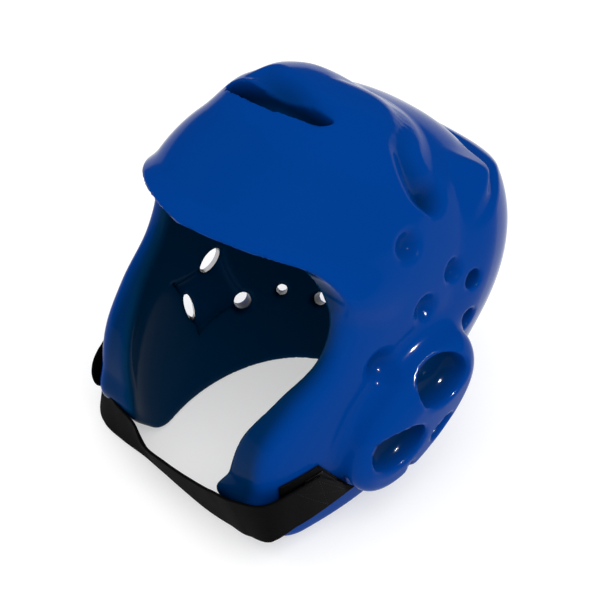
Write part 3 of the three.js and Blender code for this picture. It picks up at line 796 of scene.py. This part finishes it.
# Its lower edge between the cheeks: across in halves of the gap between them, ahead of them and over the
# floor in strap widths, with its lean forward in degrees.
FREE_SPAN = [
    {"across": -1.02, "ahead": -0.04, "lift": 0.1, "lean": -10},
    {"across": -0.9, "ahead": 0.06, "lift": 0.02, "lean": -4},
    {"across": -0.68, "ahead": 0.06, "lift": 0, "lean": 4},
    {"across": -0.42, "ahead": 0.01, "lift": 0, "lean": 11},
    {"across": -0.2, "ahead": 0, "lift": 0, "lean": 22},
    {"across": 0.05, "ahead": 0, "lift": 0, "lean": 21},
    {"across": 0.33, "ahead": 0, "lift": 0.03, "lean": 18},
    {"across": 0.6, "ahead": 0.03, "lift": 0.22, "lean": 17},
    {"across": 0.83, "ahead": 0.07, "lift": 0.42, "lean": 14},
    {"across": 1.04, "ahead": -0.04, "lift": 0.56, "lean": 8},
]


# Middle line and lower edge of the strap at its stations, from the wearer's right cheek to the left.
def strap_stations():
    backs = STRAP_END - np.linspace(0, 1, CHEEK_STATIONS) * PATCH_LENGTH
    lift = STRAP_LIFT + STRAP_THICKNESS / 2
    heights = fastening_height(backs)
    half_gap = cheek_wall(np.array([FASTENING_SETBACK - FRONT_REACH]), np.array([FASTENING_HEIGHT]))[0]
    middle, lower = [], []
    for row in FREE_SPAN:
        lean = math.radians(row["lean"])
        foot = FLOOR_GAP + row["lift"] * STRAP_WIDTH + STRAP_THICKNESS / 2 * math.sin(lean)
        edge = np.array([row["across"] * half_gap, -FRONT_REACH - row["ahead"] * STRAP_WIDTH, foot])
        lower.append(edge)
        middle.append(edge + np.array([0, -math.sin(lean), math.cos(lean)]) * STRAP_WIDTH / 2)
    lines = []
    for drop, span in ((0, middle), (STRAP_WIDTH / 2, lower)):
        right = cheek_places(-1, backs, heights - drop, lift)[0]
        left = cheek_places(1, backs, heights - drop, lift)[0][::-1]
        lines.append(np.concatenate([right, np.array(span), left]))
    return lines


# Places on the strap's middle layer and its outward directions, at lengths along and heights across it,
# and its whole length.
def strap_places(along, across):
    middle_line, lower_line = strap_stations()
    shares = np.linspace(0, 1, LENGTH_STEPS)
    run = smooth_line(middle_line, shares)[0]
    length = np.concatenate([[0], np.cumsum(np.linalg.norm(np.diff(run, axis=0), axis=1))])
    share = np.interp(along.ravel(), length, shares)
    middle, ahead = smooth_line(middle_line, share)
    ahead /= np.linalg.norm(ahead, axis=1, keepdims=True)
    up = middle - smooth_line(lower_line, share)[0]
    up -= ahead * (up * ahead).sum(1, keepdims=True)
    up /= np.linalg.norm(up, axis=1, keepdims=True)
    out = np.cross(ahead, up)
    places = middle + up * across.ravel()[:, None]
    return places.reshape(*along.shape, 3), out.reshape(*along.shape, 3), length[-1]


strap_length = strap_places(np.zeros(1), np.zeros(1))[2]
length_steps = sheet_steps(1, END_EDGE_SHARE, STRAP_STEPS[0])
share, across = np.meshgrid(length_steps, sheet_steps(STRAP_WIDTH, SELVEDGE, STRAP_STEPS[1]), indexing="ij")
cut_back = STRAP_END_SLANT * across / STRAP_WIDTH
along = cut_back + share * (strap_length - 2 * cut_back)
ribs = RIB_HEIGHT * (0.5 + 0.5 * np.cos(2 * math.pi * across / RIB_PITCH))
half = rounded_half(share * strap_length, across, SELVEDGE, STRAP_THICKNESS)
half -= ribs * half / half.max()
middle, out, _ = strap_places(along, across - STRAP_WIDTH / 2)
strap = sheet_mesh("elastic_strap", middle, out, half)

webbing, nodes, links, shader = new_material("webbing", WEBBING_BLACK, roughness=0.85, specular=0.06)
add_unevenness(nodes, links, shader, wave=1100, grain=3500, share=0.4, strength=0.5, distance=0.0002)
strap.data.materials.append(webbing)
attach(strap, "root")
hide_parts("chin_strap")

# Stitches that hold a hook tab under each end of the strap: a box of black thread with a cross in it,
# laid along lines by geometry nodes. They go with the strap.
STITCH_INSET = 3.5
STITCH_BOX = 14
STITCH_PITCH = 2.4
STITCH_LENGTH = 1.9
THREAD_WIDTH = 0.45
THREAD_SINK = 0.1
THREAD_BLACK = (0.002, 0.002, 0.002)
LINE_STEPS = 24


# Lines on the strap's outer face that the stitches follow, at both ends.
def stitch_lines():
    low, high = STITCH_INSET - STRAP_WIDTH / 2, STRAP_WIDTH / 2 - STITCH_INSET
    near, far = STITCH_INSET, STITCH_INSET + STITCH_BOX
    box = [(near, low), (far, low), (far, high), (near, high), (near, low), (far, high)]
    cross = [(far, low), (near, high)]
    points, edges = [], []
    for end in (0, 1):
        for corners in (box, cross):
            for (a, b), (c, d) in zip(corners[:-1], corners[1:]):
                t = np.linspace(0, 1, LINE_STEPS)
                up = b + (d - b) * t
                inward = a + (c - a) * t + STRAP_END_SLANT * (up / STRAP_WIDTH + 0.5)
                run = strap_length - inward if end else inward
                on_strap, out, _ = strap_places(run, up)
                first = len(points)
                points.extend((on_strap + out * (STRAP_THICKNESS / 2 - THREAD_SINK)).tolist())
                edges.extend((first + k, first + k + 1) for k in range(len(t) - 1))
    mesh = bpy.data.meshes.new("stitch_lines")
    places = np.array(points) / MM_PER_METRE + np.array([0, HEAD_MIDDLE.y, 0])
    mesh.from_pydata(places.tolist(), edges, [])
    lines = bpy.data.objects.new("stitch_lines", mesh)
    scene.collection.objects.link(lines)
    return lines


# Geometry nodes that lay a stitch of thread at each pitch along a line.
def stitch_tree():
    tree = bpy.data.node_groups.new("stitches_on_lines", "GeometryNodeTree")
    face = tree.interface
    face.new_socket("Geometry", in_out="INPUT", socket_type="NodeSocketGeometry")
    for name in ("Pitch", "Stitch Length", "Thread Width"):
        face.new_socket(name, in_out="INPUT", socket_type="NodeSocketFloat")
    face.new_socket("Thread", in_out="INPUT", socket_type="NodeSocketMaterial")
    face.new_socket("Geometry", in_out="OUTPUT", socket_type="NodeSocketGeometry")
    kinds = {"entry": "NodeGroupInput", "leave": "NodeGroupOutput", "curve": "GeometryNodeMeshToCurve",
             "spaced": "GeometryNodeResampleCurve", "ball": "GeometryNodeMeshUVSphere",
             "size": "ShaderNodeCombineXYZ", "shaped": "GeometryNodeTransform",
             "tangent": "GeometryNodeInputTangent", "turned": "FunctionNodeAlignRotationToVector",
             "placed": "GeometryNodeInstanceOnPoints", "real": "GeometryNodeRealizeInstances",
             "coloured": "GeometryNodeSetMaterial"}
    n = {key: tree.nodes.new(kind) for key, kind in kinds.items()}
    n["spaced"].mode = "LENGTH"
    n["turned"].axis = "X"
    n["ball"].inputs["Segments"].default_value = 8
    n["ball"].inputs["Rings"].default_value = 6
    n["ball"].inputs["Radius"].default_value = 0.5
    wires = [("entry", "Geometry", "curve", "Mesh"), ("curve", "Curve", "spaced", "Curve"),
             ("entry", "Pitch", "spaced", "Length"), ("entry", "Stitch Length", "size", "X"),
             ("entry", "Thread Width", "size", "Y"), ("entry", "Thread Width", "size", "Z"),
             ("ball", "Mesh", "shaped", "Geometry"), ("size", "Vector", "shaped", "Scale"),
             ("spaced", "Curve", "placed", "Points"), ("shaped", "Geometry", "placed", "Instance"),
             ("tangent", "Tangent", "turned", "Vector"), ("turned", "Rotation", "placed", "Rotation"),
             ("placed", "Instances", "real", "Geometry"), ("real", "Geometry", "coloured", "Geometry"),
             ("entry", "Thread", "coloured", "Material"), ("coloured", "Geometry", "leave", "Geometry")]
    for source, out_name, target, in_name in wires:
        tree.links.new(n[source].outputs[out_name], n[target].inputs[in_name])
    return tree


thread = new_material("thread", THREAD_BLACK, roughness=0.7, specular=0.1)[0]
lines = stitch_lines()
maker = lines.modifiers.new("stitches", "NODES")
maker.node_group = stitch_tree()
values = {"Pitch": STITCH_PITCH / MM_PER_METRE, "Stitch Length": STITCH_LENGTH / MM_PER_METRE,
          "Thread Width": THREAD_WIDTH / MM_PER_METRE, "Thread": thread}
for item in maker.node_group.interface.items_tree:
    if item.in_out == "INPUT" and item.name in values:
        maker[item.identifier] = values[item.name]
depsgraph = bpy.context.evaluated_depsgraph_get()
stitched = bpy.data.meshes.new_from_object(lines.evaluated_get(depsgraph))
stitches = bpy.data.objects.new("strap_stitches", stitched)
scene.collection.objects.link(stitches)
bpy.data.objects.remove(lines)
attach(stitches, "root")

# Floor and light: a pale floor that glows a little, under an even sky that mirrors dark in the vinyl, a
# soft light over the wearer's left, and a small narrow lamp that leaves sparks on the ear dome.
FLOOR_SIZE = 12
FLOOR_GREY = (0.6, 0.6, 0.6)
FLOOR_GLOW = 0.46
WHITE = (1, 1, 1, 1)

bpy.ops.mesh.primitive_plane_add(size=FLOOR_SIZE)
floor = bpy.context.object
floor.name = "floor"
paint, nodes, links, shader = new_material("pale_floor", FLOOR_GREY, roughness=0.8, specular=0.1)
shader.inputs["Emission Color"].default_value = WHITE
shader.inputs["Emission Strength"].default_value = FLOOR_GLOW
floor.data.materials.append(paint)

ear = turned_to_rest(on_wall(EAR_DOME["turn"], EAR_DOME["rise"])[None])[0] / MM_PER_METRE
LIGHTS = [
    {"name": "key", "turn": 70, "rise": 58, "away": 1.6, "size": 1.3, "power": 9, "spread": 180,
     "aim": HEAD_MIDDLE, "mirrored": False, "lights": True},
    {"name": "ear_lamp", "turn": 101, "rise": 34, "away": 1.5, "size": 0.05, "power": 0.28, "spread": 6,
     "aim": HEAD_MIDDLE + Vector(ear.tolist()), "mirrored": True, "lights": False},
]
for row in LIGHTS:
    light = bpy.data.objects.new(row["name"], bpy.data.lights.new(row["name"], "AREA"))
    light.data.energy = row["power"]
    light.data.size = row["size"]
    light.data.spread = math.radians(row["spread"])
    light.visible_glossy = row["mirrored"]
    light.visible_diffuse = row["lights"]
    aim = Vector(toward(row["turn"], row["rise"]))
    light.location = row["aim"] + aim * row["away"]
    light.rotation_euler = aim.to_track_quat("Z", "Y").to_euler()
    scene.collection.objects.link(light)

SKY_STRENGTH = 1.0
MIRRORED_SKY_STRENGTH = 0.05
world = bpy.data.worlds.new("studio")
world.use_nodes = True
nodes, links = world.node_tree.nodes, world.node_tree.links
sky = nodes["Background"]
sky.inputs["Color"].default_value = WHITE
ray = nodes.new("ShaderNodeLightPath")
strength = nodes.new("ShaderNodeMapRange")
strength.inputs["To Min"].default_value = SKY_STRENGTH
strength.inputs["To Max"].default_value = MIRRORED_SKY_STRENGTH
links.new(ray.outputs["Is Glossy Ray"], strength.inputs["Value"])
links.new(strength.outputs["Result"], sky.inputs["Strength"])
scene.world = world
scene.view_settings.view_transform = "Standard"
